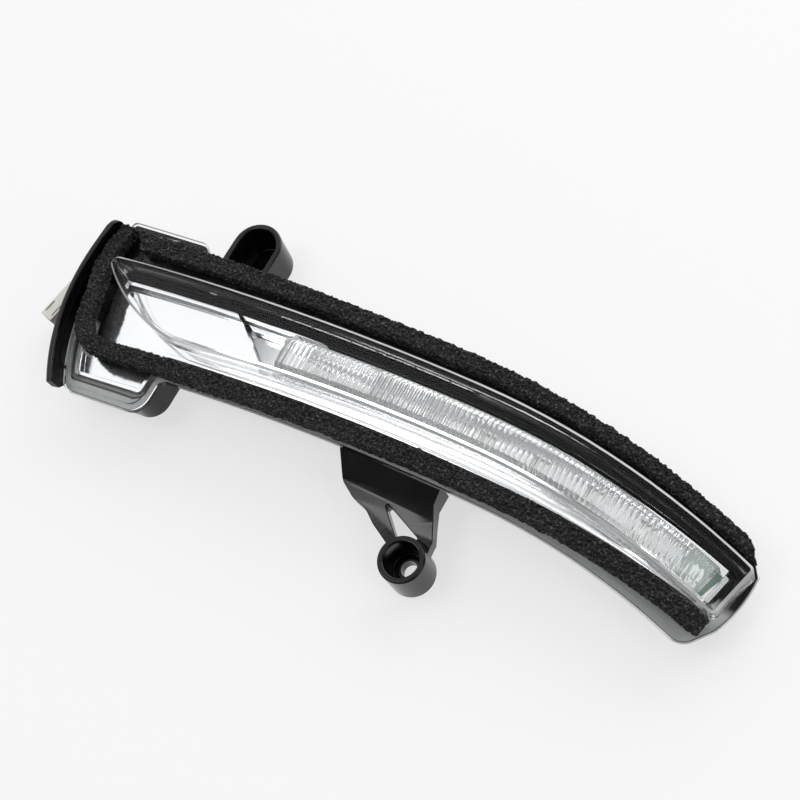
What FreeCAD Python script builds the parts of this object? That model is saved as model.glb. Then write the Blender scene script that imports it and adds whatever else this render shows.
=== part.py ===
"""Side turn signal lamp for an exterior mirror: a long crowned lamp lying on its back.

X runs along the lamp from its wide inboard block to its slim outboard end, Y across it,
and Z out of the clear lens. The drawing plane's zero is the inboard end; the finished
lamp is moved so that its origin is the middle of the underside. All lengths are in mm.
"""
import FreeCAD, Part
import math
import os
from FreeCAD import Vector

os.makedirs("parts", exist_ok=True)

# Crown: the flange face of the lens is bent along the lamp, highest at crown_x.
crown_x = 85.0
crown_height = 17.5
crown_radius = 1000.0

# Rails: long edges seen from above, each two tangent arcs that meet at a crest.
# A rail is (crest x, crest y, radius left of the crest, radius right of it).
flange_upper = (121.0, 17.8, 1750.0, 244.7)
flange_lower = (140.0, -18.0, 900.0, 186.0)
dome_upper = (128.0, 9.8, 1130.0, 238.0)
dome_lower = (134.0, -7.2, 680.0, 220.0)
bar_upper = (129.0, 4.9, 900.0, 232.5)
bar_lower = (133.0, -5.1, 700.0, 222.5)
seal_upper_outer = (121.0, 17.1, 1750.0, 244.0)
seal_upper_inner = (125.0, 12.3, 1500.0, 241.0)
seal_lower_outer = (146.0, -17.0, 900.0, 226.0)
seal_lower_inner = (146.0, -11.8, 900.0, 228.0)
cavity_upper = (126.0, 7.6, 1130.0, 238.0)
cavity_lower = (140.0, -12.3, 900.0, 290.0)

# End wall of the inboard block: an upright arc through three points.
end_wall_top = (0.3, 14.2)
end_wall_middle = (-0.9, -4.0)
end_wall_bottom = (12.0, -38.4)
end_wall_thickness = 1.4
end_wall_rise = 6.2
end_wall_corner_radius = 3.0
end_wall_heel_y = -31.0
end_wall_heel_rise = 13.5

# Inboard block
block_top_y = 15.4
block_shoulder_x = 28.6
block_shoulder_y = 17.0
block_right_x = 40.4
block_bottom_left_y = -37.1
block_bottom_right_y = -34.6
block_body_setback = 2.4
block_wall = 1.2
block_corner_radius = 6.0
block_heel_radius = 4.5
block_shoulder_radius = 4.0
block_step = 4.4
block_step_radius = 1.5
block_top_radius = 2.0
block_notch_radius = 2.0

# Outboard end
flange_end_upper = (208.4, -3.6)
flange_end_middle = (207.6, -11.9)
flange_end_lower = (204.8, -20.2)
upper_end_x = 203.5
lip_end_x = 198.9
lip_corner_radius = 5.0
flange_upper_radius = 3.0
flange_tip_radius = 1.2
flange_heel_radius = 2.0

# Lens
lens_thickness = 2.0
lens_wall = 1.6
dome_height = 6.0
dome_edge_bevel = 0.7
dome_tip_x = 5.4
dome_tip_radius = 2.0
dome_belly = (23.0, -8.8)
dome_heel = (40.0, -13.1)
dome_join_x = 50.0
dome_end_upper_x = 208.0
dome_end_lower_x = 203.9
dome_end_radius = 1.5
skirt_depth = 2.2
skirt_thickness = 1.2
flange_step_width = 1.9
flange_step_drop = 0.6
block_groove_width = 1.8
block_groove_depth = 0.5
block_groove_top_y = -22.0
gate_x = 12.4
gate_thickness = 0.6
gate_reach = 3.6
gate_height = 0.9
tab_start = (54.3, 7.0)
tab_length = 6.6
tab_width = 3.6
tab_height = 0.5

# Housing
housing_flange = 2.0
housing_flange_setback = 0.5
weld_gap = 0.1
housing_wall = 2.0
housing_floor = 2.0
block_floor = 1.5
board_seat_drop = 12.0
board_seat_z = crown_height - board_seat_drop
block_floor_z = board_seat_z - block_floor
back_step = 3.0
body_end_radius = 2.0
cavity_corner_radius = 2.0
cavity_heel_radius = 3.0
least_radius = 0.5
body_left_x = 24.0
cavity_narrow_x = 145.0
cavity_slim_x = 160.0
cavity_end_x = 204.0
end_lean = 2.6
dark_ledge = 1.6
fit_gap = 0.3

# Foam seals
seal_thickness = 4.2
seal_left_width = 5.3
seal_left_inset = 0.4
seal_corner_radius = 13.0
seal_top_y = 14.0
seal_outer_corner_y = -26.0
seal_inner_corner_y = -20.6
seal_lower_join_x = 46.0
seal_lower_end_x = 203.0
seal_lower_slant = 1.4
seal_upper_start_x = 9.6
seal_upper_start_slant = 3.2
seal_upper_end_x = 203.6
seal_upper_end_slant = 3.6

# Reflector
tray_drop = 6.0
tray_sheet = 1.2
channel_inset = 0.9
channel_end_gap = 0.6
channel_wall = 1.0
channel_floor_end_x = 190.0
led_opening = (4.6, 3.9)
divider_top = (46.9, 6.0)
divider_bottom = (66.2, -9.4)
channel_start = 9.0
bar_start_x = 70.0

# Ribbed inner lens
bar_end_x = 198.6
bar_end_lean = 1.4
bar_plain_end_x = 99.0
rib_pitch = 1.55
rib_height = 0.55
bar_top_rise = 1.2
bar_flank_drop = 2.0
bar_flat_share = 0.62
rib_flank_share = 0.4

# Circuit board and what is soldered to it
board_thickness = 1.2
board_top = board_seat_z + board_thickness
board_gap = 0.4
board_end_x = 202.4
led_count = 8
led_first_x = 80.0
led_last_x = 194.0
led_size = (3.5, 2.8, 0.8)
led_window = (2.4, 1.8)
led_window_depth = 0.2
chip_places = [(12.0, -8.0), (12.0, -14.0), (20.0, -20.0), (28.0, -20.0)]
chip_size = (3.2, 1.6, 0.6)
diode_place = (20.0, -12.0)
diode_size = (4.4, 2.6, 1.8)
capacitor_place = (29.0, -11.0)
capacitor_radius = 2.2
capacitor_height = 1.9
capacitor_foot = 0.4
capacitor_lip = 0.2
screw_place = (47.0, -11.6)
screw_shank_radius = 1.1
screw_head_radius = 1.8
screw_head_height = 1.3
screw_length = 4.0
screw_gap = 0.1
screw_hole_gap = 0.2
screw_post_radius = 2.4

# Screw boss on the lower bracket
boss_centre = (127.4, -38.2)
boss_height = 12.5
boss_radius = 6.4
boss_bore_radius = 4.7
boss_floor = 3.0
boss_screw_hole_radius = 2.2
boss_collar_radius = 3.3
boss_collar_height = 1.2

# Locating cup on the upper side
cup_centre = (42.3, 24.1)
cup_height = 12.8
cup_base_radius = 7.0
cup_mouth_radius = 7.6
cup_wall = 1.7
cup_floor = 2.0
cup_inner_wall = 1.0

# Lower bracket
bracket_root_y = -13.0
bracket_web_y = -18.2
bracket_fold_y = -25.6
bracket_fold_z = 11.2
bracket_arm_y = -29.2
bracket_arm_z = 10.8
bracket_toe_y = -38.0
bracket_toe_z = 8.4
bracket_sheet = 2.0
bracket_rim = 1.4
bracket_rim_bottom_z = 6.0
bracket_corner_radius = 4.0
bracket_outline = [
    (97.5, bracket_root_y), (97.5, -18.9), (101.6, -25.9), (106.4, -28.8),
    (111.2, -30.1), (114.6, -32.6), (121.9, -36.4), boss_centre,
    (132.0, -34.0), (131.8, -30.2), (130.0, -26.4), (128.1, -22.0), (128.2, bracket_root_y),
]
bracket_window = [(114.2, -25.6), (128.8, -31.5), (121.9, -33.0)]
bracket_window_radius = 0.5

# Connector on the outside of the end wall
plug_corner = (-5.4, -6.9)
plug_angle = 12.5
plug_width = 4.4
plug_length = 12.8
plug_height = 5.0
plug_drop = 3.7
plug_bottom_z = board_top - plug_drop
plug_socket_wall = 0.7
plug_socket_depth = 9.0
plug_slot_width = 0.55
plug_slot_length = 3.8
plug_slot_margin = 1.4
plug_slot_inset = 0.75
plug_slot_depth = 1.05
carrier_start = 0.6
carrier_length = 6.4
carrier_reach = 6.5
carrier_cover = 1.2
pin_size = 0.64
pin_pitch = 1.6
pin_start = 2.0
pin_stop = 2.0
pin_reach = 13.0
pin_gap = 0.2
pin_seat_gap = 0.02

# Vent on the back
vent_centre = (70.0, -2.0)
vent_radius = 4.0
vent_thickness = 0.4
vent_recess = 0.6
vent_hole_radius = 1.2

# Drawing aids
far_left = -40.0
far_right = 240.0
far_side = 70.0
tall = 40.0
overrun = 1.0
skim = 0.01
edge_tolerance = 0.05
same_point = 1e-6
search_rounds = 12


def crown_z(x, offset=0.0):
    """Height of the crowned flange face at x, plus an offset."""
    drop = crown_radius - math.sqrt(crown_radius ** 2 - (x - crown_x) ** 2)
    return crown_height - drop + offset


def crown_arc(offset):
    """The crown's curve, seen from the side, moved up by an offset."""
    return [Vector(x, -far_side, crown_z(x, offset)) for x in (far_left, crown_x, far_right)]


def crown_layer(low, high):
    """Everything between two offsets of the crowned face."""
    a, b, c = crown_arc(low)
    d, e, f = crown_arc(high)
    edges = [
        Part.Arc(a, b, c).toShape(),
        Part.LineSegment(c, f).toShape(),
        Part.Arc(f, e, d).toShape(),
        Part.LineSegment(d, a).toShape(),
    ]
    return Part.Face(Part.Wire(edges)).extrude(Vector(0, 2 * far_side, 0))


def crown_block(bottom_z, high):
    """Everything from a flat plane up to an offset of the crowned face."""
    d, e, f = crown_arc(high)
    a = Vector(far_left, -far_side, bottom_z)
    c = Vector(far_right, -far_side, bottom_z)
    edges = [
        Part.LineSegment(a, c).toShape(),
        Part.LineSegment(c, f).toShape(),
        Part.Arc(f, e, d).toShape(),
        Part.LineSegment(d, a).toShape(),
    ]
    return Part.Face(Part.Wire(edges)).extrude(Vector(0, 2 * far_side, 0))


def flat_layer(low_z, high_z):
    """Everything between two level planes."""
    corner = Vector(far_left, -far_side, low_z)
    return Part.makeBox(far_right - far_left, 2 * far_side, high_z - low_z, corner)


def rail_y(rail, x, offset=0.0):
    """Y of a rail at x, with the whole rail moved sideways by an offset."""
    crest_x, crest_y, left, right = rail
    radius = (left if x < crest_x else right) + offset
    return crest_y + offset - radius + math.sqrt(radius ** 2 - (x - crest_x) ** 2)


def rail_slope(rail, x):
    """Angle of a rail's tangent at x, in radians."""
    crest_x, _, left, right = rail
    radius = left if x < crest_x else right
    return -math.asin((x - crest_x) / radius)


def rail_path(rail, start_x, end_x, offset=0.0):
    """Arcs along a rail from start_x to end_x, split at its crest."""
    crest_x = rail[0]
    stops = [start_x, end_x]
    if min(stops) < crest_x < max(stops):
        stops.insert(1, crest_x)
    path = []
    for a, b in zip(stops, stops[1:]):
        points = [(x, rail_y(rail, x, offset)) for x in (a, (a + b) / 2, b)]
        path.append(("arc",) + tuple(points))
    return path


def end_wall_circle():
    """Centre and radius of the end wall's outer arc."""
    arc = Part.Arc(*[Vector(x, y, 0) for x, y in (end_wall_top, end_wall_middle, end_wall_bottom)])
    circle = arc.toShape().Curve
    return circle.Center, circle.Radius


def end_wall_x(y, inset=0.0):
    """X of the end wall's arc at y, moved inwards by an inset."""
    centre, radius = end_wall_circle()
    return centre.x - math.sqrt((radius - inset) ** 2 - (y - centre.y) ** 2)


def end_wall_meets(rail, offset, inset):
    """The point where a moved rail runs into the end wall's arc."""
    x = 0.0
    for _ in range(search_rounds):
        x = end_wall_x(rail_y(rail, x, offset), inset)
    return (x, rail_y(rail, x, offset))


def end_wall_path(start_y, end_y, inset):
    """The end wall's arc from start_y to end_y."""
    points = [(end_wall_x(y, inset), y) for y in (start_y, (start_y + end_y) / 2, end_y)]
    return [("arc",) + tuple(points)]


def closed_wire(path, z=0.0):
    """One closed wire from arcs and the straight lines that join them."""
    edges = []
    last = None
    first = None
    for step in path:
        points = [Vector(x, y, z) for x, y in step[1:]]
        if last is not None and last.distanceToPoint(points[0]) > same_point:
            edges.append(Part.LineSegment(last, points[0]).toShape())
        if step[0] == "arc":
            edges.append(Part.Arc(*points).toShape())
        first = first or points[0]
        last = points[-1]
    if last.distanceToPoint(first) > same_point:
        edges.append(Part.LineSegment(last, first).toShape())
    return Part.Wire(edges)


def point(x, y):
    """A plain corner in a path."""
    return ("point", (x, y))


def prism(path, corners=(), low=0.0, high=tall):
    """An upright solid over a closed path, with chosen corners rounded."""
    solid = Part.Face(closed_wire(path, low)).extrude(Vector(0, 0, high - low))
    for (x, y), radius in corners:
        upright = [
            edge for edge in solid.Edges
            if len(edge.Vertexes) == 2
            and all(math.hypot(v.X - x, v.Y - y) < edge_tolerance for v in edge.Vertexes)
        ]
        solid = solid.makeFillet(radius, upright)
    return solid


def base_face(solid):
    """The flat underside of an upright prism."""
    return min(solid.Faces, key=lambda face: face.CenterOfMass.z)


def resized(solid, offset, low=0.0, high=tall):
    """The same prism with its outline moved outwards (+) or inwards (-)."""
    face = base_face(solid)
    moved = face.makeOffset2D(offset, fill=False)
    flat = Part.Face(moved.Wires[0])
    flat.translate(Vector(0, 0, low - face.CenterOfMass.z))
    return flat.extrude(Vector(0, 0, high - low))


def largest(shape):
    """The biggest solid of a boolean result."""
    return max(shape.Solids, key=lambda solid: solid.Volume)


def joined(*shapes):
    """One solid from several that overlap or touch."""
    result = shapes[0].fuse(list(shapes[1:]))
    return result.removeSplitter()


def flange_prism(inset):
    """Outline of the lens flange, moved inwards along its end wall only."""
    wall_inset = end_wall_thickness + fit_gap + inset
    top_left = (end_wall_x(block_top_y, wall_inset), block_top_y)
    bottom_left = (end_wall_x(block_bottom_left_y, wall_inset), block_bottom_left_y)
    shoulder = (block_shoulder_x, block_shoulder_y)
    lip_end = (lip_end_x, rail_y(flange_lower, lip_end_x))
    upper_end = (upper_end_x, rail_y(flange_upper, upper_end_x))
    notch = (block_right_x, rail_y(flange_lower, block_right_x))
    bottom_right = (block_right_x, block_bottom_right_y)
    step_x = block_shoulder_x + block_step
    step = (step_x, rail_y(flange_upper, step_x))
    path = [point(*shoulder)]
    path += rail_path(flange_upper, step_x, upper_end_x)
    path += [("arc", flange_end_upper, flange_end_middle, flange_end_lower)]
    path += rail_path(flange_lower, lip_end_x, block_right_x)
    path += [point(*bottom_right)]
    path += end_wall_path(block_bottom_left_y, block_top_y, wall_inset)
    corners = [
        (shoulder, block_shoulder_radius), (step, block_step_radius),
        (upper_end, flange_upper_radius), (flange_end_upper, flange_tip_radius),
        (flange_end_lower, flange_heel_radius), (lip_end, lip_corner_radius),
        (notch, block_notch_radius), (bottom_right, block_corner_radius),
        (bottom_left, block_heel_radius), (top_left, block_top_radius),
    ]
    return prism(path, corners)


def dome_belly_circle():
    """Centre and radius of the round inboard edge of the raised window."""
    tip = (dome_tip_x, rail_y(dome_upper, dome_tip_x))
    arc = Part.Arc(*[Vector(x, y, 0) for x, y in (dome_heel, dome_belly, tip)])
    circle = arc.toShape().Curve
    return circle.Center, circle.Radius


def dome_belly_x(y, inset):
    """X of the round inboard edge at y, moved inwards by an inset."""
    centre, radius = dome_belly_circle()
    return centre.x - math.sqrt((radius - inset) ** 2 - (y - centre.y) ** 2)


def dome_prism(inset=0.0):
    """Outline of the raised, clear light window of the lens."""
    centre, radius = dome_belly_circle()
    heel_scale = (radius - inset) / radius
    heel = (centre.x + (dome_heel[0] - centre.x) * heel_scale,
            centre.y + (dome_heel[1] - centre.y) * heel_scale)
    tip_x = dome_tip_x
    for _ in range(search_rounds):
        tip_x = dome_belly_x(rail_y(dome_upper, tip_x, -inset), inset)
    tip = (tip_x, rail_y(dome_upper, tip_x, -inset))
    belly_y = (heel[1] + tip[1]) / 2
    end_upper_x = dome_end_upper_x - inset
    end_lower_x = dome_end_lower_x - inset
    end_upper = (end_upper_x, rail_y(dome_upper, end_upper_x, -inset))
    end_lower = (end_lower_x, rail_y(dome_lower, end_lower_x, inset))
    path = rail_path(dome_upper, tip_x, end_upper_x, -inset)
    path += rail_path(dome_lower, end_lower_x, dome_join_x, inset)
    path += [point(*heel)]
    path += [("arc", heel, (dome_belly_x(belly_y, inset), belly_y), tip)]
    corners = [
        (tip, max(least_radius, dome_tip_radius - inset)),
        (end_upper, max(least_radius, dome_end_radius - inset)),
        (end_lower, max(least_radius, dome_end_radius - inset)),
    ]
    return prism(path, corners)


def cavity_prism(inset=0.0):
    """Outline of the hollow in the housing; it narrows beside the ribbed bar."""
    wall_inset = end_wall_thickness + fit_gap + housing_wall + inset
    edge_inset = housing_wall + fit_gap + inset
    block_right = block_right_x - edge_inset
    bottom_inset = block_body_setback + block_wall + fit_gap + inset
    bottom_left_y = block_bottom_left_y + bottom_inset
    bottom_left = (end_wall_x(bottom_left_y, wall_inset), bottom_left_y)
    bottom_right = (block_right, block_bottom_right_y + bottom_inset)
    notch = (block_right, rail_y(cavity_lower, block_right, inset))
    upper_left = end_wall_meets(cavity_upper, -inset, wall_inset)
    end_upper_x = cavity_end_x - inset
    end_lower_x = end_upper_x - end_lean
    end_lower = (end_lower_x, rail_y(cavity_lower, end_lower_x, inset))
    ledge = dark_ledge - inset
    end_upper = (end_upper_x, rail_y(bar_upper, end_upper_x, ledge))
    path = rail_path(cavity_upper, upper_left[0], cavity_narrow_x, -inset)
    path += rail_path(bar_upper, cavity_slim_x, end_upper_x, ledge)
    path += rail_path(cavity_lower, end_lower_x, block_right, inset)
    path += [point(*bottom_right)]
    path += end_wall_path(bottom_left_y, upper_left[1], wall_inset)
    tight = max(least_radius, cavity_corner_radius - inset)
    corners = [
        (notch, block_notch_radius),
        (bottom_right, max(least_radius, block_corner_radius - edge_inset)),
        (bottom_left, max(least_radius, cavity_heel_radius - inset)), (upper_left, tight),
        (end_upper, tight), (end_lower, tight),
    ]
    return prism(path, corners)


def body_prism(inset=0.0):
    """Outline of the deep body behind the flange."""
    wall = housing_wall - inset
    end_upper_x = cavity_end_x + wall
    end_lower_x = end_upper_x - end_lean
    left_x = body_left_x + inset
    end_upper = (end_upper_x, rail_y(cavity_upper, end_upper_x, wall))
    end_lower = (end_lower_x, rail_y(cavity_lower, end_lower_x, -wall))
    path = rail_path(cavity_upper, left_x, end_upper_x, wall)
    path += rail_path(cavity_lower, end_lower_x, left_x, -wall)
    return prism(path, [(end_upper, body_end_radius), (end_lower, body_end_radius)])


def block_prism():
    """Outline of the wide inboard block behind the flange."""
    wall_inset = end_wall_thickness + fit_gap
    top_y = rail_y(cavity_upper, body_left_x, housing_wall)
    right_x = block_right_x - fit_gap
    bottom_inset = fit_gap + block_body_setback
    bottom_right = (right_x, block_bottom_right_y + bottom_inset)
    bottom_left_y = block_bottom_left_y + bottom_inset
    bottom_left = (end_wall_x(bottom_left_y, wall_inset), bottom_left_y)
    path = [point(right_x, top_y), point(*bottom_right)]
    path += end_wall_path(bottom_left_y, top_y, wall_inset)
    corners = [(bottom_right, block_corner_radius), (bottom_left, block_heel_radius)]
    return prism(path, corners)


def end_wall_heel():
    """Room under the slanted lower end of the end wall."""
    low = block_floor_z - overrun
    high = block_floor_z + end_wall_heel_rise
    ring = [
        Vector(far_left, end_wall_heel_y, low), Vector(far_left, end_wall_heel_y, block_floor_z),
        Vector(far_left, end_wall_bottom[1], high), Vector(far_left, -far_side, high),
        Vector(far_left, -far_side, low),
    ]
    face = Part.Face(Part.makePolygon(ring + [ring[0]]))
    return face.extrude(Vector(far_right - far_left, 0, 0))


def make_end_wall():
    """The upright fin that closes the inboard end and stands above the flange."""
    path = end_wall_path(end_wall_bottom[1], end_wall_top[1], 0.0)
    inset = end_wall_thickness + fit_gap
    path += end_wall_path(end_wall_top[1], end_wall_bottom[1] + inset / 2, inset)
    wall = prism(path)
    wall = wall.common(crown_block(block_floor_z, end_wall_rise)).cut(end_wall_heel())
    top = crown_z(end_wall_top[0], end_wall_rise)
    near_end = [
        edge for edge in wall.Edges
        if edge.BoundBox.YMin > end_wall_top[1] - overrun and edge.BoundBox.ZMin > top - overrun
    ]
    return wall.makeFillet(end_wall_corner_radius, near_end)


def make_screw_boss():
    """Outer form and hollow of the round screw boss."""
    place = Vector(boss_centre[0], boss_centre[1], 0)
    outside = Part.makeCylinder(boss_radius, boss_height, place)
    bore = Part.makeCylinder(boss_bore_radius, tall, place + Vector(0, 0, boss_floor))
    collar = Part.makeCylinder(
        boss_collar_radius, boss_collar_height, place + Vector(0, 0, boss_floor))
    hole = Part.makeCylinder(boss_screw_hole_radius, tall, place - Vector(0, 0, overrun))
    return outside, bore.cut(collar).fuse(hole)


def cup_outline(radius, z, inner_y):
    """A U that is round away from the lamp and open towards it."""
    x, y = cup_centre
    arc = Part.Arc(
        Vector(x + radius, y, z), Vector(x, y + radius, z), Vector(x - radius, y, z)).toShape()
    corners = [Vector(x - radius, y, z), Vector(x - radius, inner_y, z),
               Vector(x + radius, inner_y, z), Vector(x + radius, y, z)]
    lines = [Part.LineSegment(a, b).toShape() for a, b in zip(corners, corners[1:])]
    return Part.Wire([arc] + lines)


def make_cup():
    """Outer form and hollow of the U-shaped locating cup."""
    body_side = rail_y(cavity_upper, cup_centre[0], housing_wall)
    outside = Part.makeLoft([
        cup_outline(cup_base_radius, 0.0, body_side - overrun),
        cup_outline(cup_mouth_radius, cup_height, body_side - overrun)], True, True)
    hollow = Part.makeLoft([
        cup_outline(cup_base_radius - cup_wall, cup_floor, body_side + cup_inner_wall),
        cup_outline(cup_mouth_radius - cup_wall, cup_height + skim, body_side + cup_inner_wall)],
        True, True)
    return outside, hollow


def bracket_sheet_solid(thickness):
    """The bracket's folded sheet, full width: sloping web, level shoulder, sloping legs."""
    right_x = max(x for x, y in bracket_outline)
    root_z = crown_z(right_x, -lens_thickness - fit_gap)
    top = [(bracket_root_y, root_z), (bracket_web_y, root_z), (bracket_fold_y, bracket_fold_z),
           (bracket_arm_y, bracket_arm_z), (bracket_toe_y, bracket_toe_z),
           (-far_side, bracket_toe_z)]
    below = [(y, z - thickness) for y, z in reversed(top)]
    ring = [Vector(far_left, y, z) for y, z in top + below]
    return Part.Face(Part.makePolygon(ring + [ring[0]])).extrude(Vector(far_right - far_left, 0, 0))


def make_bracket():
    """Folded bracket with a rim along each edge and round its three-sided window."""
    corners = [(corner, bracket_corner_radius) for corner in bracket_outline[2:6]]
    outline = prism([point(*corner) for corner in bracket_outline], corners)
    window = prism([point(*corner) for corner in bracket_window],
                   [(corner, bracket_window_radius) for corner in bracket_window])
    sheet = bracket_sheet_solid(bracket_sheet)
    deep = bracket_sheet_solid(tall)
    edge_rim = outline.cut(resized(outline, -bracket_rim))
    window_rim = resized(window, bracket_rim).common(outline)
    rims = edge_rim.fuse(window_rim).common(deep).common(flat_layer(bracket_rim_bottom_z, tall))
    body_side = Part.makeBox(far_right - far_left, 2 * far_side, tall,
                             Vector(far_left, bracket_web_y + bracket_rim, 0))
    rims = rims.cut(body_side)
    return joined(outline.common(sheet), rims).cut(window)


def plug_vector(along, outward, z):
    """A point in the connector's own directions: along its mating axis and outwards."""
    angle = math.radians(plug_angle)
    axis = Vector(-math.sin(angle), -math.cos(angle), 0)
    out = Vector(-math.cos(angle), math.sin(angle), 0)
    return Vector(plug_corner[0], plug_corner[1], 0) + axis * along + out * outward + Vector(0, 0, z)


def plug_box(along, outward, z, size_along, size_out, size_z):
    """A box set in the connector's own directions, by its low corner and size."""
    ring = [
        plug_vector(along, outward, z),
        plug_vector(along + size_along, outward, z),
        plug_vector(along + size_along, outward + size_out, z),
        plug_vector(along, outward + size_out, z),
    ]
    face = Part.Face(Part.makePolygon(ring + [ring[0]]))
    return face.extrude(Vector(0, 0, size_z))


def make_plug_carrier():
    """Black block that carries the connector on the outside of the end wall."""
    bottom = plug_bottom_z + carrier_start
    return plug_box(carrier_start, -carrier_reach, bottom,
                    carrier_length, carrier_reach, board_top + pin_size + carrier_cover - bottom)


def pin_offsets():
    """Outward place of the two contact pins in the connector."""
    middle = plug_width / 2
    return (middle - pin_pitch / 2, middle + pin_pitch / 2)


def pin_path_box(index, grow):
    """One contact: a leg in the connector and a leg through the wall to the board."""
    outward = pin_offsets()[index] - pin_size / 2
    along = pin_start + (1 - index) * pin_pitch
    z = board_top
    wide = pin_size + 2 * grow
    reach = pin_reach + outward
    inner = plug_box(along - grow, outward - reach, z - grow, wide, reach + pin_size, wide)
    outer = plug_box(along - grow, outward - grow, z - grow,
                     plug_length - pin_stop - along + grow, wide, wide)
    return inner.fuse(outer).removeSplitter()


def make_housing():
    """The black moulding that carries everything: flange, body, block, bosses."""
    flange = resized(flange_prism(0.0), -housing_flange_setback).common(
        crown_layer(-lens_thickness - housing_flange, -lens_thickness - weld_gap))
    body = body_prism()
    shell_top = -lens_thickness - weld_gap
    deep_body = body.common(crown_block(board_seat_z - housing_floor, shell_top))
    back_land = body_prism(back_step).common(flat_layer(0.0, board_seat_z))
    block = block_prism().common(crown_block(block_floor_z, shell_top))
    cup_outside, cup_hollow = make_cup()
    boss_outside, boss_hollow = make_screw_boss()
    solid = joined(flange, deep_body, back_land, block, cup_outside,
                   make_bracket(), boss_outside, make_end_wall(), make_plug_carrier())
    upper_hollow = cavity_prism().common(flat_layer(board_seat_z, tall))
    lower_hollow = cavity_prism(back_step).common(flat_layer(housing_floor, board_seat_z))
    lower_hollow = lower_hollow.common(body_prism(back_step + housing_wall))
    lower_hollow = lower_hollow.cut(screw_post())
    solid = solid.cut([upper_hollow, lower_hollow, cup_hollow, boss_hollow])
    solid = solid.cut(pin_path_box(0, pin_gap).fuse(pin_path_box(1, pin_gap)))
    solid = solid.cut(screw_shank(screw_gap))
    vent_place = Vector(vent_centre[0], vent_centre[1], 0)
    vent_seat = Part.makeCylinder(vent_radius + fit_gap / 2, vent_recess, vent_place)
    vent_hole = Part.makeCylinder(vent_hole_radius, housing_floor + overrun, vent_place)
    solid = solid.cut(vent_seat.fuse(vent_hole))
    return largest(solid)


def screw_post():
    """Post in the housing that the board's screw goes into."""
    x, y = screw_place
    return Part.makeCylinder(screw_post_radius, board_seat_z, Vector(x, y, 0))


def screw_shank(grow):
    """Shank of the board's screw, thickened by a clearance."""
    x, y = screw_place
    return Part.makeCylinder(screw_shank_radius + grow, screw_length + overrun,
                             Vector(x, y, board_top - screw_length))


def block_groove(outline):
    """Shallow groove under the lens that follows the rim of the inboard block."""
    middle = resized(outline, -flange_step_width)
    inner = resized(outline, -flange_step_width - block_groove_width)
    groove = middle.cut(inner).common(
        crown_layer(-lens_thickness - overrun, -lens_thickness + block_groove_depth))
    return groove.common(Part.makeBox(
        block_right_x + overrun - far_left, block_groove_top_y + far_side, tall,
        Vector(far_left, -far_side, 0)))


def gate_rib():
    """Low tapering rib left by the gate, from the raised window across the flange."""
    root_y = rail_y(dome_upper, gate_x) - lens_wall / 2
    root_z = crown_z(gate_x, -lens_thickness / 2)
    ring = [
        Vector(gate_x, root_y, root_z),
        Vector(gate_x, root_y + lens_wall / 2 + gate_reach, root_z),
        Vector(gate_x, root_y + lens_wall / 2 + gate_reach, crown_z(gate_x, gate_height / 2)),
        Vector(gate_x, root_y, crown_z(gate_x, gate_height)),
    ]
    face = Part.Face(Part.makePolygon(ring + [ring[0]]))
    return face.extrude(Vector(gate_thickness, 0, 0))


def corner_tab():
    """Low step on the flange against the raised window's upper side."""
    corner = Vector(tab_start[0], tab_start[1], 0)
    return Part.makeBox(tab_length, tab_width, tall, corner).common(
        crown_layer(-flange_step_drop, tab_height))


def make_lens():
    """Clear cover: a crowned flange, a raised window with rounded edges and a skirt."""
    outline = flange_prism(fit_gap)
    flange = outline.common(crown_layer(-lens_thickness, -flange_step_drop))
    flange = flange.fuse(
        resized(outline, -flange_step_width).common(crown_layer(-lens_thickness, 0.0)))
    flange = flange.cut(block_groove(outline))
    raised = dome_prism().common(crown_layer(-lens_thickness, dome_height))
    rim = [
        edge for edge in raised.Edges
        if min(v.Z - crown_z(v.X, dome_height) for v in edge.Vertexes) > -edge_tolerance
    ]
    raised = raised.makeChamfer(dome_edge_bevel, rim)
    hollow = dome_prism(lens_wall).common(
        crown_layer(-lens_thickness - overrun, dome_height - lens_wall))
    skirt_outer = cavity_prism(fit_gap)
    skirt_inner = cavity_prism(fit_gap + skirt_thickness)
    skirt = skirt_outer.cut(skirt_inner).common(
        crown_layer(-lens_thickness - skirt_depth, -lens_thickness / 2))
    skirt = skirt.common(flat_layer(board_top + fit_gap, tall)).cut(bar_prism(dark_ledge))
    lens = joined(flange, raised).cut(hollow)
    for detail in (skirt, gate_rib(), corner_tab()):
        lens = joined(lens, detail.cut(hollow))
    return largest(lens)


def make_upper_seal():
    """Foam strip along the upper edge."""
    path = rail_path(seal_upper_outer, seal_upper_start_x, seal_upper_end_x)
    path += rail_path(seal_upper_inner, seal_upper_end_x + seal_upper_end_slant,
                      seal_upper_start_x + seal_upper_start_slant)
    return prism(path).common(crown_layer(0.0, seal_thickness))


def make_lower_seal():
    """Foam strip down the inboard end, round the corner and along the lower edge."""
    outer_inset = end_wall_thickness + 2 * fit_gap + seal_left_inset
    inner_inset = outer_inset + seal_left_width
    outer_corner = (end_wall_x(seal_outer_corner_y, outer_inset), seal_outer_corner_y)
    inner_corner = (end_wall_x(seal_inner_corner_y, inner_inset), seal_inner_corner_y)
    path = end_wall_path(seal_top_y, seal_outer_corner_y, outer_inset)
    path += rail_path(seal_lower_outer, seal_lower_join_x, seal_lower_end_x - seal_lower_slant)
    path += rail_path(seal_lower_inner, seal_lower_end_x, seal_lower_join_x)
    path += [point(*inner_corner)]
    path += end_wall_path(seal_inner_corner_y, seal_top_y, inner_inset)
    corners = [
        (outer_corner, seal_corner_radius),
        (inner_corner, seal_corner_radius - seal_left_width),
    ]
    return prism(path, corners).common(crown_layer(0.0, seal_thickness))


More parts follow.
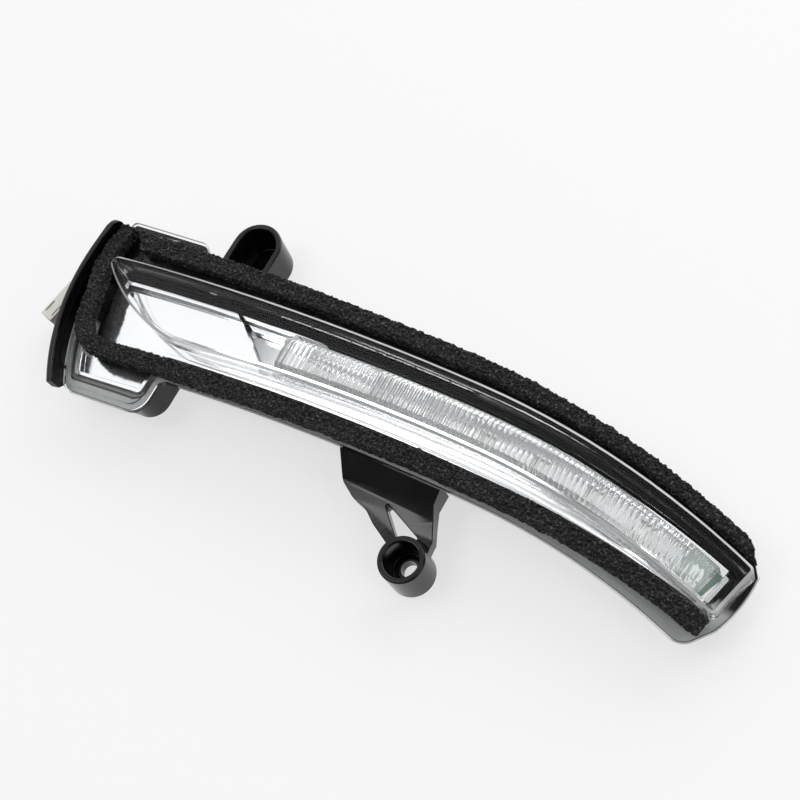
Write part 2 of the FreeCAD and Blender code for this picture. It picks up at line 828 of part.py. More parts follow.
def bar_prism(offset):
    """Outline of the ribbed bar, wider or narrower by an offset."""
    end_x = bar_end_x + offset
    path = rail_path(bar_upper, bar_start_x, end_x + bar_end_lean, offset)
    path += rail_path(bar_lower, end_x - bar_end_lean, bar_start_x, -offset)
    return prism(path)


def channel_prism():
    """Outline of the channel's mouth in the reflector, with its slanted inboard edge."""
    path = [point(*divider_bottom), point(*divider_top)]
    end_x = bar_end_x + channel_end_gap
    path += rail_path(bar_upper, divider_top[0] + channel_start, end_x + bar_end_lean,
                      -channel_inset)
    path += rail_path(bar_lower, end_x - bar_end_lean, divider_bottom[0] + overrun,
                      channel_inset)
    return prism(path)


def make_reflector():
    """Bright tray behind the lens with a deep channel under the ribbed bar."""
    tray_inset = 2 * fit_gap + skirt_thickness
    slim_part = bar_prism(dark_ledge - fit_gap)
    outline = cavity_prism(tray_inset).fuse(slim_part)
    inner = cavity_prism(tray_inset + tray_sheet).fuse(slim_part)
    lowest = board_top + fit_gap
    floor_top = lowest + tray_sheet
    top = -lens_thickness - fit_gap
    tray = outline.common(crown_layer(-tray_drop, top)).common(flat_layer(lowest, tall))
    slim_x = crown_x + math.sqrt(2 * crown_radius * (crown_height - tray_drop - lowest))
    outer_end = Part.makeBox(
        far_right - slim_x, 2 * far_side, tall, Vector(slim_x, -far_side, 0))
    low_floor = outline.common(flat_layer(lowest, floor_top)).common(outer_end)
    tray = tray.fuse(low_floor)
    pocket = inner.common(crown_layer(-tray_drop + tray_sheet, tall / 2))
    pocket = pocket.common(flat_layer(floor_top, tall))
    channel = channel_prism()
    channel_outer = resized(channel, channel_wall).common(outline)
    walls = channel_outer.common(
        crown_layer(-tall, -tray_drop + tray_sheet)).common(flat_layer(lowest, tall))
    channel_floor = channel.common(outline).common(flat_layer(lowest, floor_top)).common(
        Part.makeBox(channel_floor_end_x - far_left, 2 * far_side, tall,
                     Vector(far_left, -far_side, 0)))
    channel_floor = channel_floor.cut(led_openings())
    tray = tray.cut(pocket).fuse(walls).cut(channel).fuse(channel_floor)
    return largest(tray.removeSplitter().cut(screw_head(fit_gap)))


def led_openings():
    """Openings in the channel's floor over the light sources."""
    openings = []
    for index in range(led_count):
        x, y, slope = led_place(index)
        openings.append(chip((x, y), (led_opening[0], led_opening[1], tall), slope))
    return openings


def screw_head(grow):
    """Head of the board's screw, or the room for it."""
    x, y = screw_place
    return Part.makeCylinder(screw_head_radius + grow, screw_head_height + grow,
                             Vector(x, y, board_top))


def bar_section(x, rise):
    """Six-sided section of the ribbed bar at x, square to its path."""
    upper = rail_y(bar_upper, x)
    lower = rail_y(bar_lower, x)
    slope = (rail_slope(bar_upper, x) + rail_slope(bar_lower, x)) / 2
    half = (upper - lower) * math.cos(slope) / 2
    flat = half * bar_flat_share
    across = Vector(-math.sin(slope), math.cos(slope), 0)
    middle = Vector(x, (upper + lower) / 2, 0)
    floor_top = board_top + fit_gap + tray_sheet
    bottom = max(crown_z(x, tray_sheet - tray_drop), floor_top) + fit_gap
    top = crown_z(x, bar_top_rise)
    outline = [
        (-half, bottom), (half, bottom), (half, top - bar_flank_drop + rise * rib_flank_share),
        (flat, top + rise), (-flat, top + rise), (-half, top - bar_flank_drop + rise * rib_flank_share),
    ]
    ring = [middle + across * side + Vector(0, 0, z) for side, z in outline]
    return Part.makePolygon(ring + [ring[0]])


def make_inner_lens():
    """Ribbed bar over the light sources: smooth inboard, sharp ribs outboard."""
    sections = []
    x = bar_start_x
    while x < bar_plain_end_x:
        sections.append(bar_section(x, 0.0))
        x += 4 * rib_pitch
    x = bar_plain_end_x
    crest = False
    while x < bar_end_x:
        sections.append(bar_section(x, rib_height if crest else 0.0))
        slope = (rail_slope(bar_upper, x) + rail_slope(bar_lower, x)) / 2
        x += rib_pitch / 2 * math.cos(slope)
        crest = not crest
    return Part.makeLoft(sections, True, True)


def make_board():
    """Long circuit board that lies on the ledge of the housing."""
    board = cavity_prism(board_gap).common(flat_layer(board_seat_z, board_top))
    board = board.common(
        Part.makeBox(board_end_x - far_left, 2 * far_side, tall,
                     Vector(far_left, -far_side, 0)))
    return largest(board.cut(screw_shank(screw_hole_gap)))


def led_place(index):
    """Middle and direction of one light source on the board."""
    x = led_first_x + (led_last_x - led_first_x) * index / (led_count - 1)
    y = (rail_y(bar_upper, x) + rail_y(bar_lower, x)) / 2
    slope = (rail_slope(bar_upper, x) + rail_slope(bar_lower, x)) / 2
    return x, y, slope


def chip(place, size, angle=0.0):
    """A small flat component on the board."""
    length, width, height = size
    box = Part.makeBox(length, width, height, Vector(-length / 2, -width / 2, 0))
    box.rotate(Vector(0, 0, 0), Vector(0, 0, 1), math.degrees(angle))
    box.translate(Vector(place[0], place[1], board_top))
    return box


def make_led(index):
    """One light source: a flat package with a sunk window."""
    x, y, slope = led_place(index)
    body = chip((x, y), led_size, slope)
    window = chip((x, y), (led_window[0], led_window[1], tall), slope)
    window.translate(Vector(0, 0, led_size[2] - led_window_depth))
    return body.cut(window)


def make_capacitor():
    """A low round capacitor on its square foot."""
    foot_size = (2 * capacitor_radius, 2 * capacitor_radius, capacitor_foot)
    foot = chip(capacitor_place, foot_size)
    z = board_top + foot_size[2]
    can = Part.makeCylinder(
        capacitor_radius - capacitor_lip, capacitor_height - foot_size[2],
        Vector(capacitor_place[0], capacitor_place[1], z))
    return joined(foot, can)


def make_connector_shell():
    """White two-way connector with an open front and two slots along its top."""
    shell = plug_box(0.0, 0.0, plug_bottom_z, plug_length, plug_width, plug_height)
    wall = plug_socket_wall
    socket = plug_box(plug_length - plug_socket_depth, wall, plug_bottom_z + wall,
                      plug_socket_depth + overrun, plug_width - 2 * wall, plug_height - 2 * wall)
    shell = shell.cut(socket)
    for outward in (plug_slot_inset, plug_width - plug_slot_inset):
        slot = plug_box(plug_length - plug_slot_length - plug_slot_margin,
                        outward - plug_slot_width / 2,
                        plug_bottom_z + plug_height - plug_slot_depth,
                        plug_slot_length, plug_slot_width, plug_slot_depth + overrun)
        shell = shell.cut(slot)
    return largest(shell.cut(
        pin_path_box(0, pin_seat_gap).fuse(pin_path_box(1, pin_seat_gap))))


def make_board_screw():
    """Pan-head screw that holds the board down at its wide end."""
    x, y = screw_place
    shank = Part.makeCylinder(
        screw_shank_radius, screw_length, Vector(x, y, board_top - screw_length))
    return joined(shank, screw_head(0.0))


def make_vent():
    """Round breathable patch in its recess on the back."""
    z = vent_recess - vent_thickness
    return Part.makeCylinder(
        vent_radius, vent_thickness, Vector(vent_centre[0], vent_centre[1], z))


def build():
    """Every node of the lamp, by name."""
    nodes = {
        "housing": make_housing(),
        "outer_lens": make_lens(),
        "gasket_upper": make_upper_seal(),
        "gasket_lower": make_lower_seal(),
        "reflector": make_reflector(),
        "inner_lens": make_inner_lens(),
        "circuit_board": make_board(),
        "diode": chip(diode_place, diode_size),
        "capacitor": make_capacitor(),
        "connector_shell": make_connector_shell(),
        "terminal_inner": pin_path_box(0, 0.0),
        "terminal_outer": pin_path_box(1, 0.0),
        "board_screw": make_board_screw(),
        "vent_membrane": make_vent(),
    }
    for index in range(led_count):
        nodes["led_%d" % (index + 1)] = make_led(index)
    for index, place in enumerate(chip_places):
        nodes["resistor_%d" % (index + 1)] = chip(place, chip_size)
    return nodes


def main():
    nodes = build()
    whole = Part.makeCompound(list(nodes.values()))
    box = whole.optimalBoundingBox()
    shift = Vector(-(box.XMin + box.XMax) / 2, -(box.YMin + box.YMax) / 2, -box.ZMin)
    for name, shape in nodes.items():
        shape.translate(shift)
        shape.exportStep("parts/%s.step" % name)
    print("size %.2f x %.2f x %.2f" % (box.XLength, box.YLength, box.ZLength))
    print("moved by %.3f, %.3f, %.3f" % (shift.x, shift.y, shift.z))
    for name, shape in nodes.items():
        print("%-16s solids %d valid %s volume %.1f" % (
            name, len(shape.Solids), shape.isValid(), shape.Volume))


main()
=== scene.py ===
"""Looks of the mirror turn signal lamp: clear crowned lens, bright tray, ribbed bar and foam seals."""

import math

import bpy
from mathutils import Matrix, Vector


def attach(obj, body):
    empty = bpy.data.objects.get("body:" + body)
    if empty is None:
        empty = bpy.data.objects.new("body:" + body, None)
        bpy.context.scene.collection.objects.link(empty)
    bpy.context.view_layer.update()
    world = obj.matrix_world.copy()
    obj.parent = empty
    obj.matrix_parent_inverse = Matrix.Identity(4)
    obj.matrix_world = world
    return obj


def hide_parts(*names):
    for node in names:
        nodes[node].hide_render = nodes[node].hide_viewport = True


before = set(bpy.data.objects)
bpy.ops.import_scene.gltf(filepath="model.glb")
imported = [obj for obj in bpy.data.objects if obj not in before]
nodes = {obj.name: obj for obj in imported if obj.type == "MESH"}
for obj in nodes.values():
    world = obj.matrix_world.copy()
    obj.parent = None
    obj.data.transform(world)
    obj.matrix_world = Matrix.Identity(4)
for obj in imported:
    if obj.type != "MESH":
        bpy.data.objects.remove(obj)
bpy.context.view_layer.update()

MM = 0.001

# The drawing's zero, seen from the finished lamp's origin. Lengths and places below are the
# drawing's millimetres, and heights of faces are measured from the crowned flange face.
DRAWING_ORIGIN = Vector((-97.969, 6.45, 0.0))
CROWN_X = 85.0
CROWN_HEIGHT = 17.5
CROWN_RADIUS = 1000.0

# Clear cover
LENS_THICKNESS = 2.0
# Faces above this height round the raised window, and the flange's rims outside RIM_HIDDEN_X, carry
# the painted edge highlight.
WINDOW_BEVEL_HEIGHT = 5.2
RIM_HIDDEN_X = (30.0, 118.0)
# Painted reflection: the dull black under the cover turns grey across this span of y, outside the
# seals.
PAINTED_RIM_REFLECTION_Y = (-16.0, -13.5)

# Bright tray
TRAY_FLOOR = -4.8
TRAY_END_X = 12.0
TRAY_SLIM_END_X = 195.0
CHANNEL_TOP_Z = 9.5
# Painted shade and painted dark reflection: the channel's coating goes from dark grey to silver across
# this span of x.
CHANNEL_PAINTED_SHADE_X = (52.0, 72.0)
CHANNEL_PAINTED_SHADE_LEVELS = (0.2, 0.92)

# Ribbed bar: its relief is full on the plain inboard part, and sharpens the true ribs beyond it
RIB_PITCH = 1.55
PLAIN_BAR_END_X = (98.8, 99.0)
RELIEF_SHARE = (1.0, 0.7)

# Housing: free rims with larger radii, and the shoulder beside the foam
END_WALL_TOP = 6.2
END_WALL_ROUND_Y = 10.5
CUP_TOP_Z, CUP_START_Y = 12.8, 16.0
BOSS_TOP_Z, BOSS_START_Y = 12.5, -31.0
SHOULDER_X = (2.0, 31.0)
SHOULDER_Y = 14.6
SHOULDER_REACH = 1.6

# Radii of the moulded edges
RIM_RADIUS = 0.55
HOUSING_EDGE_RADIUS = 0.25
TRAY_EDGE_RADIUS = 0.2
BAR_EDGE_RADIUS = 0.09

# Foam strips: the lean of the inboard end, the grid they are formed on, cells and lumps
FOAM_LEAN = 2.2
FOAM_LEAN_Y = (4.0, -12.0)
FOAM_LEAN_FADE_X = (14.0, 34.0)
FOAM_GRID = 0.36
CELL_SIZE, CELL_DEPTH = 0.8, 0.8
LUMP_SIZE, LUMP_DEPTH = 2.6, 0.7

# Tests of faces and points: level and steep faces by their normal, tolerances in millimetres
LEVEL = 0.9
STEEP = 0.7
NEAR = 0.1
RIM_NEAR = 0.3
WELD_NEAR = 0.4
FLANGE_SKIN = 0.2

# Camera
VIEW_TARGET = (Vector((105.0, 0.0, 12.0)) + DRAWING_ORIGIN) * MM
VIEW_BACK = Vector((0.406, -0.2362, 0.8828)).normalized()
VIEW_UP = Vector((-0.3659, 0.8432, 0.3939))
VIEW_DISTANCE = 0.397
VIEW_CLIP = (0.01, 20.0)
LENS_MM = 67.5
SENSOR_MM = 36.0

# Softboxes: direction from the lamp, distance, size and power.
# The tray's wide end mirrors the first, and the others light edges and bends.
SOFTBOXES = {
    "key": ((-0.70, 0.27, 0.66), 1.1, (1.15, 1.15), 0.6),
    "back": ((0.10, 0.86, 0.50), 1.2, (1.3, 0.7), 7.0),
    "right": ((0.80, 0.05, 0.60), 1.2, (0.7, 0.9), 3.2),
    "front": ((-0.39, -0.20, 0.90), 1.2, (0.3, 0.5), 2.4),
}
# Room: pale on the left and behind, dark towards the camera's side
ROOM_TINT = (0.99, 0.995, 1.0, 1.0)
ROOM_BRIGHT_SIDE = Vector((-0.55, 0.80, 0.25)).normalized()
ROOM_EDGES = (0.25, 0.60)
ROOM_LEVELS = (0.18, 0.98)
BACKDROP_LEVEL = 0.93
FLOOR_COLOUR = 0.3
FLOOR_GLOW = 0.65
FLOOR_SIDE = 3.2


def place(x, y, z):
    """A point of the part's drawing, in the finished frame and in metres."""
    return (Vector((x, y, z)) + DRAWING_ORIGIN) * MM


def drawn_at(point):
    """A point of the finished frame, back in the drawing's millimetres."""
    return point / MM - DRAWING_ORIGIN


# Nodes of materials and of the room

def add(owner, kind, **values):
    """A new node in a material or world, with its plain sockets and settings set."""
    node = owner.node_tree.nodes.new(kind)
    for name, value in values.items():
        socket = name.replace("_", " ")
        if socket in node.inputs:
            node.inputs[socket].default_value = value
        else:
            setattr(node, name, value)
    return node


def link(owner, source, target):
    owner.node_tree.links.new(source, target)


def object_coordinates(material):
    return add(material, "ShaderNodeTexCoord").outputs["Object"]


def object_axis(material, axis):
    """One of the coordinates of the finished frame, in metres."""
    split = add(material, "ShaderNodeSeparateXYZ")
    link(material, object_coordinates(material), split.inputs["Vector"])
    return split.outputs[axis]


def noise(material, scale, detail=3.0, roughness=0.55):
    node = add(material, "ShaderNodeTexNoise", Scale=scale, Detail=detail, Roughness=roughness)
    link(material, object_coordinates(material), node.inputs["Vector"])
    return node.outputs["Fac"]


def calculate(owner, operation, first, second=None):
    """One step of arithmetic on a socket, with a number or another socket."""
    node = add(owner, "ShaderNodeMath", operation=operation)
    link(owner, first, node.inputs[0])
    if isinstance(second, float):
        node.inputs[1].default_value = second
    elif second is not None:
        link(owner, second, node.inputs[1])
    return node.outputs["Value"]


def ramp(owner, source, span, values):
    """A value that runs between two others while its source crosses a span."""
    node = add(owner, "ShaderNodeMapRange")
    node.inputs["From Min"].default_value, node.inputs["From Max"].default_value = span
    node.inputs["To Min"].default_value, node.inputs["To Max"].default_value = values
    link(owner, source, node.inputs["Value"])
    return node.outputs["Result"]


def bump(material, source, strength, distance):
    node = add(material, "ShaderNodeBump", Strength=strength, Distance=distance)
    link(material, source, node.inputs["Height"])
    return node.outputs["Normal"]


# Camera, light and table

def make_camera():
    """Camera at the photograph's angle."""
    right = VIEW_UP.cross(VIEW_BACK).normalized()
    up = VIEW_BACK.cross(right)
    data = bpy.data.cameras.new("view")
    data.lens = LENS_MM
    data.sensor_width = SENSOR_MM
    data.clip_start, data.clip_end = VIEW_CLIP
    camera = bpy.data.objects.new("view", data)
    turned = Matrix((right, up, VIEW_BACK)).transposed().to_4x4()
    camera.matrix_world = (
        Matrix.Translation(VIEW_TARGET + VIEW_BACK * VIEW_DISTANCE) @ turned)
    bpy.context.scene.collection.objects.link(camera)
    bpy.context.scene.camera = camera


def make_softbox(name, direction, distance, size, power):
    """A flat area light that faces the lamp."""
    data = bpy.data.lights.new(name, "AREA")
    data.shape = "RECTANGLE"
    data.size, data.size_y = size
    data.energy = power
    light = bpy.data.objects.new(name, data)
    light.matrix_world = (
        Matrix.Translation(VIEW_TARGET + direction * distance)
        @ direction.to_track_quat("Z", "Y").to_matrix().to_4x4())
    bpy.context.scene.collection.objects.link(light)


def make_world():
    """Soft room light from the left and behind; the camera sees a pale backdrop."""
    world = bpy.data.worlds.new("studio")
    world.use_nodes = True
    background = world.node_tree.nodes["Background"]
    background.inputs["Color"].default_value = ROOM_TINT
    towards = add(world, "ShaderNodeVectorMath", operation="DOT_PRODUCT")
    towards.inputs[1].default_value = ROOM_BRIGHT_SIDE
    link(world, add(world, "ShaderNodeTexCoord").outputs["Generated"], towards.inputs[0])
    seen = add(world, "ShaderNodeMix", B=BACKDROP_LEVEL)
    link(world, add(world, "ShaderNodeLightPath").outputs["Is Camera Ray"],
         seen.inputs["Factor"])
    link(world, ramp(world, towards.outputs["Value"], ROOM_EDGES, ROOM_LEVELS),
         seen.inputs["A"])
    link(world, seen.outputs["Result"], background.inputs["Strength"])
    bpy.context.scene.world = world


def make_floor():
    """Plain pale table top, whose glow is only seen, directly or in a mirror or lens."""
    bpy.ops.object.select_all(action="DESELECT")
    bpy.ops.mesh.primitive_plane_add(size=FLOOR_SIDE, location=(0.0, 0.0, 0.0))
    floor = bpy.context.object
    floor.name = "table_top"
    material, principled = shader(
        "table_top", Base_Color=(FLOOR_COLOUR, FLOOR_COLOUR, FLOOR_COLOUR, 1.0), Roughness=0.6,
        Specular_IOR_Level=0.2, Emission_Color=(1.0, 1.0, 1.0, 1.0))
    path = add(material, "ShaderNodeLightPath")
    seen = path.outputs["Is Camera Ray"]
    for kind in ("Is Glossy Ray", "Is Transmission Ray"):
        seen = calculate(material, "MAXIMUM", seen, path.outputs[kind])
    link(material, ramp(material, seen, (0.0, 1.0), (0.0, FLOOR_GLOW)),
         principled.inputs["Emission Strength"])
    floor.data.materials.append(material)


# Materials

def shader(name, **values):
    """A new material with its Principled shader's plain sockets set."""
    material = bpy.data.materials.new(name)
    material.use_nodes = True
    principled = material.node_tree.nodes["Principled BSDF"]
    for socket, value in values.items():
        principled.inputs[socket.replace("_", " ")].default_value = value
    return material, principled


def let_light_through(material, principled, tint):
    """Light reaches what is behind clear plastic: shadow rays see a transparent shader."""
    through = add(material, "ShaderNodeBsdfTransparent", Color=tint)
    path = add(material, "ShaderNodeLightPath")
    mix = add(material, "ShaderNodeMixShader")
    link(material, path.outputs["Is Shadow Ray"], mix.inputs[0])
    link(material, principled.outputs[0], mix.inputs[1])
    link(material, through.outputs[0], mix.inputs[2])
    link(material, mix.outputs[0], material.node_tree.nodes["Material Output"].inputs["Surface"])


def make_black_plastic():
    """Gloss black of the housing."""
    material, principled = shader(
        "gloss_black", Base_Color=(0.004, 0.004, 0.005, 1.0), Specular_IOR_Level=0.35)
    link(material, ramp(material, noise(material, scale=90.0), (0.3, 0.7), (0.10, 0.20)),
         principled.inputs["Roughness"])
    link(material, bump(material, noise(material, scale=1500.0, detail=2.0),
                        strength=0.12, distance=0.08 * MM), principled.inputs["Normal"])
    return material


def make_inner_black():
    """Dull black under the clear cover, with a painted reflection that turns it grey where the flange
    lies outside the seals.
    """
    material, principled = shader("inner_black_and_painted_rim_reflection", Roughness=0.5, Specular_IOR_Level=0.1)
    # Painted reflection: grey base colour outside the seals, black inside them.
    rim = [place(0, y, 0).y for y in PAINTED_RIM_REFLECTION_Y]
    link(material, ramp(material, object_axis(material, "Y"), rim, (0.38, 0.003)),
         principled.inputs["Base Color"])
    return material


def make_clear_plastic():
    """The cover's polished plastic."""
    material, principled = shader(
        "clear_lens", Base_Color=(0.98, 0.985, 0.99, 1.0), Roughness=0.0, IOR=1.35,
        Specular_Tint=(0.3, 0.3, 0.3, 1.0), Transmission_Weight=1.0)
    let_light_through(material, principled, (0.94, 0.95, 0.95, 1.0))
    return material


def make_clear_edge():
    """Painted highlight on the clear cover's rims and bevels: a half-diffuse whitish plastic that
    shows there as bright lines.
    """
    material, principled = shader(
        "painted_edge_highlight", Base_Color=(0.97, 0.98, 0.99, 1.0), Roughness=0.25, IOR=1.49,
        Transmission_Weight=0.45)
    let_light_through(material, principled, (0.94, 0.95, 0.95, 1.0))
    return material


def make_ribbed_plastic():
    """The light bar's plastic, with a relief of fine ribs across it."""
    material, principled = shader(
        "ribbed_clear", Base_Color=(0.985, 0.99, 0.99, 1.0), Roughness=0.02, IOR=1.49,
        Transmission_Weight=0.88)
    along = object_axis(material, "X")
    turns = calculate(material, "MULTIPLY", along, 2.0 * math.pi / (RIB_PITCH * MM))
    ribs = calculate(material, "SINE", turns)
    bar_end = [place(x, 0, 0).x for x in PLAIN_BAR_END_X]
    relief = calculate(material, "MULTIPLY", ribs, ramp(material, along, bar_end, RELIEF_SHARE))
    link(material, bump(material, relief, strength=0.9, distance=0.18 * MM),
         principled.inputs["Normal"])
    let_light_through(material, principled, (0.92, 0.93, 0.93, 1.0))
    return material


def make_metallised(name):
    """Silver coating of the tray, very slightly wavy."""
    material, principled = shader(name, Base_Color=(0.9, 0.9, 0.905, 1.0), Metallic=1.0)
    link(material, ramp(material, noise(material, scale=60.0), (0.3, 0.7), (0.06, 0.14)),
         principled.inputs["Roughness"])
    link(material, bump(material, noise(material, scale=45.0, detail=2.0),
                        strength=0.12, distance=0.6 * MM), principled.inputs["Normal"])
    return material


def make_channel_metal():
    """The tray's coating in the channel, with painted shade and painted dark reflection darkening it
    towards the channel's start.
    """
    material = make_metallised("channel_coating_painted_shade")
    shade = [place(x, 0, 0).x for x in CHANNEL_PAINTED_SHADE_X]
    link(material, ramp(material, object_axis(material, "X"), shade, CHANNEL_PAINTED_SHADE_LEVELS),
         material.node_tree.nodes["Principled BSDF"].inputs["Base Color"])
    return material


def make_foam():
    """Open-cell black foam: dull, with glints where a cell's skin faces the light."""
    material, principled = shader("foam", Specular_IOR_Level=0.5)
    cells = add(material, "ShaderNodeTexVoronoi", Scale=1500.0)
    link(material, object_coordinates(material), cells.inputs["Vector"])
    link(material, bump(material, cells.outputs["Distance"], strength=1.0, distance=0.9 * MM),
         principled.inputs["Normal"])
    grain = noise(material, scale=1500.0, detail=1.0)
    link(material, ramp(material, grain, (0.52, 0.72), (0.003, 0.075)),
         principled.inputs["Base Color"])
    link(material, ramp(material, grain, (0.5, 0.7), (0.8, 0.3)), principled.inputs["Roughness"])
    return material


def make_white_connector():
    """Natural white plastic of the connector."""
    material, principled = shader(
        "connector_white", Base_Color=(0.76, 0.745, 0.70, 1.0), Roughness=0.45,
        Subsurface_Weight=0.15, Subsurface_Scale=0.002)
    link(material, bump(material, noise(material, scale=900.0, detail=2.0),
                        strength=0.1, distance=0.1 * MM), principled.inputs["Normal"])
    return material


def make_plain(name, colour, roughness, metallic=0.0):
    """An even finish whose roughness varies a little."""
    material, principled = shader(name, Base_Color=(*colour, 1.0), Metallic=metallic)
    spread = (roughness * 0.8, min(1.0, roughness * 1.25))
    link(material, ramp(material, noise(material, scale=600.0), (0.3, 0.7), spread),
         principled.inputs["Roughness"])
    return material


# Tests that pick faces and points of the pieces

def crown_z(x):
    """Height of the crowned flange face at x of the drawing."""
    return CROWN_HEIGHT - CROWN_RADIUS + math.sqrt(CROWN_RADIUS ** 2 - (x - CROWN_X) ** 2)


def above_crown(point):
    """How far a point of the finished lamp lies above the flange face, in millimetres."""
    drawn = drawn_at(point)
    return drawn.z - crown_z(drawn.x)


def is_weld_face(face):
    """True for the housing's level faces that show through the clear flange."""
    depth = above_crown(face.center) + LENS_THICKNESS
    return face.normal.z > LEVEL and abs(depth) < WELD_NEAR


def is_skirt_face(face):
    """True for the part of the clear cover that hides in the housing."""
    return above_crown(face.center) < -LENS_THICKNESS - NEAR


def is_clear_edge_face(face):
    """True for the bevel round the raised window and the flange's rims at both ends, which carry the
    painted edge highlight.
    """
    height = above_crown(face.center)
    at_end = not RIM_HIDDEN_X[0] < drawn_at(face.center).x < RIM_HIDDEN_X[1]
    on_bevel = height > WINDOW_BEVEL_HEIGHT and abs(face.normal.z) < LEVEL
    on_rim = -LENS_THICKNESS < height < -FLANGE_SKIN and abs(face.normal.z) < STEEP
    return on_bevel or on_rim and at_end


def is_tray_end_face(face):
    """True for the tray's upright walls at its two ends."""
    drawn = drawn_at(face.center)
    at_end = drawn.x < TRAY_END_X or drawn.x > TRAY_SLIM_END_X
    return at_end and above_crown(face.center) > TRAY_FLOOR + NEAR


def is_channel_face(face):
    """True for the tray's deep channel under the ribbed bar."""
    drawn = drawn_at(face.center)
    return drawn.z < CHANNEL_TOP_Z and drawn.x > TRAY_END_X


def is_free_rim(point):
    """True for the corners along the tops of the end wall, the cup and the screw boss."""
    drawn = drawn_at(point)
    on_end_wall = (drawn.x < TRAY_END_X and drawn.y < END_WALL_ROUND_Y
                   and above_crown(point) > END_WALL_TOP - RIM_NEAR)
    on_cup = abs(drawn.z - CUP_TOP_Z) < NEAR and drawn.y > CUP_START_Y
    on_boss = abs(drawn.z - BOSS_TOP_Z) < NEAR and drawn.y < BOSS_START_Y
    return on_end_wall or on_cup or on_boss


# Work on a piece

def pick(piece):
    """Only this piece is selected and active."""
    bpy.ops.object.select_all(action="DESELECT")
    piece.select_set(True)
    bpy.context.view_layer.objects.active = piece


def apply(piece, kind, **settings):
    """A modifier added with its settings and applied at once."""
    pick(piece)
    modifier = piece.modifiers.new(kind.lower(), kind)
    for name, value in settings.items():
        setattr(modifier, name, value)
    bpy.ops.object.modifier_apply(modifier=modifier.name)


def worked_copy(node_name, piece_name):
    """A copy of a CAD node with its triangles merged into clean faces, for finishing."""
    piece = bpy.data.objects.new(piece_name, nodes[node_name].data.copy())
    bpy.context.scene.collection.objects.link(piece)
    pick(piece)
    if piece.data.has_custom_normals:
        bpy.ops.mesh.customdata_custom_splitnormals_clear()
    bpy.ops.object.mode_set(mode="EDIT")
    bpy.ops.mesh.select_all(action="SELECT")
    bpy.ops.mesh.remove_doubles(threshold=2e-6)
    bpy.ops.mesh.dissolve_limited(angle_limit=math.radians(0.4))
    bpy.ops.object.mode_set(mode="OBJECT")
    return piece


def stand_for(piece, node_name):
    """The piece stands for its CAD node and rides on the lamp."""
    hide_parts(node_name)
    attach(piece, "root")


def set_finish(piece, material, *others):
    """One finish all over, and others on the faces that their tests pick."""
    piece.data.materials.clear()
    piece.data.materials.append(material)
    for face in piece.data.polygons:
        face.material_index = 0
    for index, (other, chosen) in enumerate(others, start=1):
        piece.data.materials.append(other)
        for face in piece.data.polygons:
            if chosen(face):
                face.material_index = index


def widen_shoulder(piece):
    """The upper inboard shoulder stands a little further out beside the foam."""
    for vertex in piece.data.vertices:
        drawn = drawn_at(vertex.co)
        if SHOULDER_X[0] < drawn.x < SHOULDER_X[1] and drawn.y > SHOULDER_Y:
            vertex.co.y += SHOULDER_REACH * MM


def bevel(piece, radius, segments, **limits):
    """Rounded corners of one radius in millimetres, where the limits allow them."""
    apply(piece, "BEVEL", width=radius * MM, segments=segments, harden_normals=False, **limits)


def round_rims(piece, radius, chosen):
    """Larger radii along the free upper rims of walls."""
    group = piece.vertex_groups.new(name="rims")
    group.add([vertex.index for vertex in piece.data.vertices if chosen(vertex.co)], 1.0, "ADD")
    bevel(piece, radius, segments=4, limit_method="VGROUP", vertex_group="rims",
          use_clamp_overlap=False)
    piece.vertex_groups.clear()


def round_edges(piece, radius, segments):
    """Small moulded radii on every sharp edge, and even shading."""
    bevel(piece, radius, segments, limit_method="ANGLE", angle_limit=math.radians(40),
          use_clamp_overlap=False)
    pick(piece)
    bpy.ops.object.shade_smooth_by_angle(angle=math.radians(40))
    apply(piece, "WEIGHTED_NORMAL", keep_sharp=True, weight=60)


def smooth_step(value, start, end):
    """Zero before the start, one past the end, and a soft passage between."""
    share = min(1.0, max(0.0, (value - start) / (end - start)))
    return share * share * (3.0 - 2.0 * share)


def lean_inboard_end(piece):
    """The foam down the inboard end is laid by hand, a little inwards lower down."""
    for vertex in piece.data.vertices:
        drawn = drawn_at(vertex.co)
        share = smooth_step(drawn.y, *FOAM_LEAN_Y)
        share *= 1.0 - smooth_step(drawn.x, *FOAM_LEAN_FADE_X)
        vertex.co.x += share * FOAM_LEAN * MM


# Pieces

def make_housing(black, inner_black_and_painted_rim_reflection):
    """Black moulding, dull where it shows through the clear flange, with a painted grey reflection on
    that flange outside the seals.
    """
    piece = worked_copy("housing", "housing_shell")
    widen_shoulder(piece)
    round_rims(piece, RIM_RADIUS, is_free_rim)
    round_edges(piece, HOUSING_EDGE_RADIUS, segments=3)
    set_finish(piece, black, (inner_black_and_painted_rim_reflection, is_weld_face))
    stand_for(piece, "housing")


def make_cover(clear, inner_black_and_painted_rim_reflection, painted_edge_highlight):
    """Clear cover, with painted highlight on its bevels and rims."""
    piece = worked_copy("outer_lens", "clear_cover")
    set_finish(piece, clear, (inner_black_and_painted_rim_reflection, is_skirt_face), (painted_edge_highlight, is_clear_edge_face))
    widen_shoulder(piece)
    pick(piece)
    bpy.ops.object.shade_smooth_by_angle(angle=math.radians(20))
    stand_for(piece, "outer_lens")


def make_tray(bright, inner_black_and_painted_rim_reflection, channel_painted_shade):
    """Silver tray with the channel for the light bar, and painted shade at the channel's start."""
    piece = worked_copy("reflector", "bright_tray")
    set_finish(piece, bright, (inner_black_and_painted_rim_reflection, is_tray_end_face), (channel_painted_shade, is_channel_face))
    round_edges(piece, TRAY_EDGE_RADIUS, segments=2)
    stand_for(piece, "reflector")


def make_bar(ribbed):
    """Ribbed light bar."""
    piece = worked_copy("inner_lens", "ribbed_bar")
    set_finish(piece, ribbed)
    bevel(piece, BAR_EDGE_RADIUS, segments=2, limit_method="ANGLE",
          angle_limit=math.radians(20), use_clamp_overlap=True)
    stand_for(piece, "inner_lens")


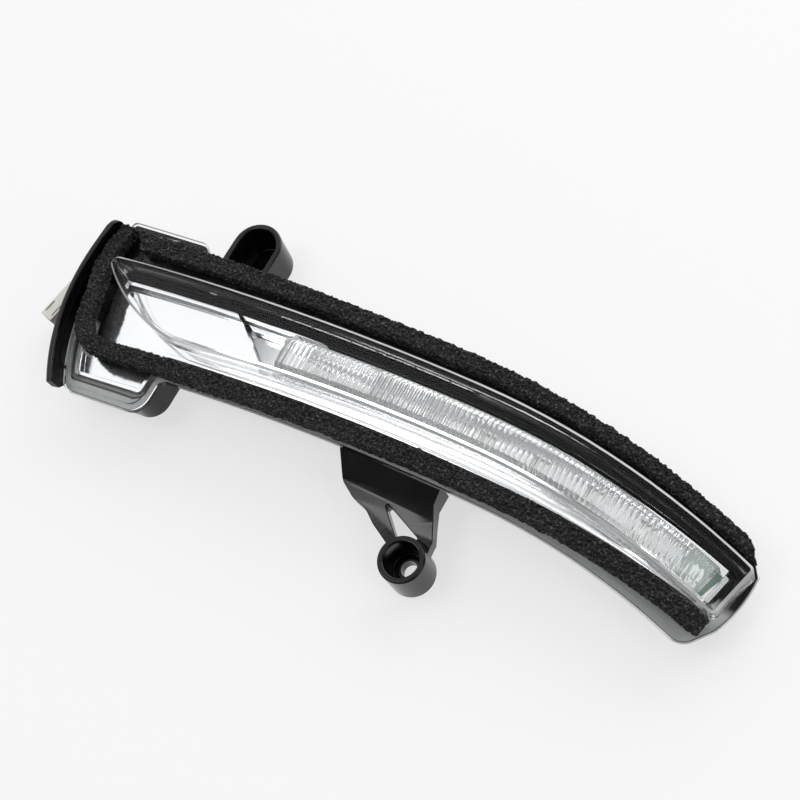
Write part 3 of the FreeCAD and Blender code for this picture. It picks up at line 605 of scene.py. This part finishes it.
def make_foam_strip(node_name, piece_name, foam):
    """Open-cell foam: a fine skin of cells with pits and ragged edges."""
    piece = worked_copy(node_name, piece_name)
    apply(piece, "REMESH", mode="VOXEL", voxel_size=FOAM_GRID * MM)
    lean_inboard_end(piece)
    cells = bpy.data.textures.new(piece_name + "_cells", "VORONOI")
    cells.noise_scale = CELL_SIZE * MM
    cells.noise_intensity = 1.2
    apply(piece, "DISPLACE", texture=cells, texture_coords="LOCAL", strength=CELL_DEPTH * MM,
          mid_level=0.62)
    lumps = bpy.data.textures.new(piece_name + "_lumps", "CLOUDS")
    lumps.noise_scale = LUMP_SIZE * MM
    apply(piece, "DISPLACE", texture=lumps, texture_coords="LOCAL", strength=LUMP_DEPTH * MM,
          mid_level=0.7)
    pick(piece)
    bpy.ops.object.shade_smooth()
    set_finish(piece, foam)
    stand_for(piece, node_name)


def finish_plain_pieces():
    """Finishes of the pieces that keep their drawn form, most of them hidden inside."""
    finishes = (
        (make_plain("board_green", (0.20, 0.28, 0.23), 0.4), ["circuit_board"]),
        (make_plain("component_black", (0.02, 0.02, 0.02), 0.5),
         ["diode"] + ["resistor_%d" % number for number in range(1, 5)]),
        (make_plain("component_metal", (0.75, 0.76, 0.77), 0.3, metallic=1.0), ["capacitor"]),
        (make_white_connector(), ["connector_shell"]),
        (make_plain("contact", (0.75, 0.68, 0.5), 0.3, metallic=1.0),
         ["terminal_inner", "terminal_outer"]),
        (make_plain("screw_zinc", (0.62, 0.62, 0.64), 0.35, metallic=1.0), ["board_screw"]),
        (make_plain("vent_grey", (0.7, 0.71, 0.72), 0.8), ["vent_membrane"]),
        (make_plain("led_package", (0.88, 0.88, 0.84), 0.4),
         ["led_%d" % number for number in range(1, 9)]),
    )
    for material, names in finishes:
        for name in names:
            nodes[name].data.materials.clear()
            nodes[name].data.materials.append(material)


make_camera()
make_world()
for name, (direction, distance, size, power) in SOFTBOXES.items():
    make_softbox(name, Vector(direction).normalized(), distance, size, power)
make_floor()
bpy.context.scene.view_settings.view_transform = "Standard"

inner_black_and_painted_rim_reflection = make_inner_black()
foam = make_foam()
make_housing(make_black_plastic(), inner_black_and_painted_rim_reflection)
make_cover(make_clear_plastic(), inner_black_and_painted_rim_reflection, make_clear_edge())
make_tray(make_metallised("metallised"), inner_black_and_painted_rim_reflection, make_channel_metal())
make_bar(make_ribbed_plastic())
make_foam_strip("gasket_upper", "foam_upper", foam)
make_foam_strip("gasket_lower", "foam_lower", foam)
finish_plain_pieces()
